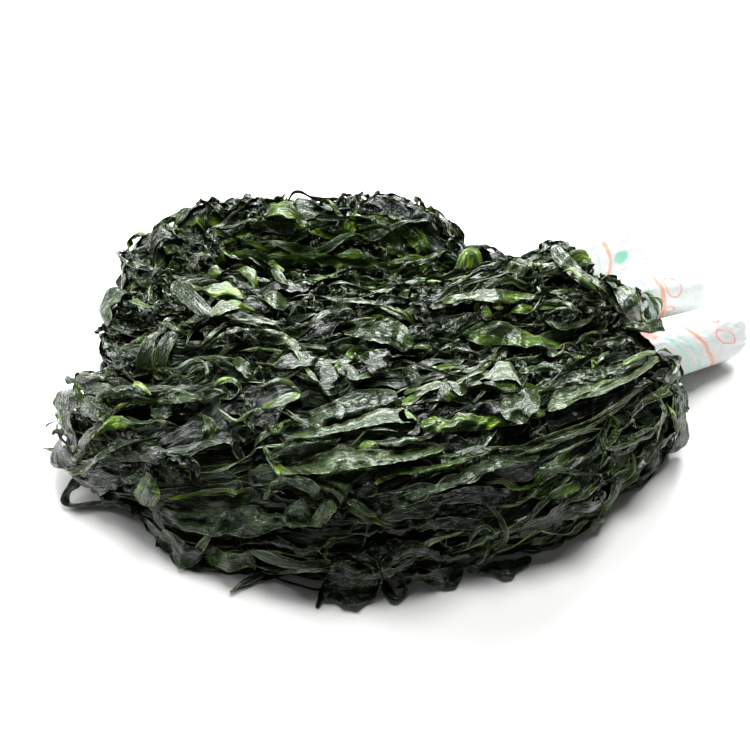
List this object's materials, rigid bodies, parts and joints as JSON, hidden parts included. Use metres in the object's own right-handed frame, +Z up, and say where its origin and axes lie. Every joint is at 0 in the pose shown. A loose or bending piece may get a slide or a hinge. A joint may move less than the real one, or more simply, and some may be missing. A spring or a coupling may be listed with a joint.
{
  "type": "salted wakame seaweed",
  "caption": "Heap of glossy dark green salted wakame: long thin fronds folded into hanks that lie side by side in a C, their root ends in white printed film wraps.",
  "frame": {"origin": "on the surface it lies on, under the middle of its bounding box", "axes": "+X along the hanks towards the wrapped root ends, +Y to the back, where the loop of the rear hank is, +Z up"},
  "size_m": [0.359, 0.2664, 0.0589],
  "materials": {
    "seaweed": "thin, wet-looking seaweed leaf: nearly black green with a cool sheen, bright yellow-green where one thin layer lets light through",
    "film": "thin white plastic film, softly creased, with plain orange-red and green bands"
  },
  "bodies": {
    "root": {"wakame": "seaweed", "wrap_front": "film", "wrap_middle": "film", "wrap_rear": "film"}
  },
  "joints": []
}
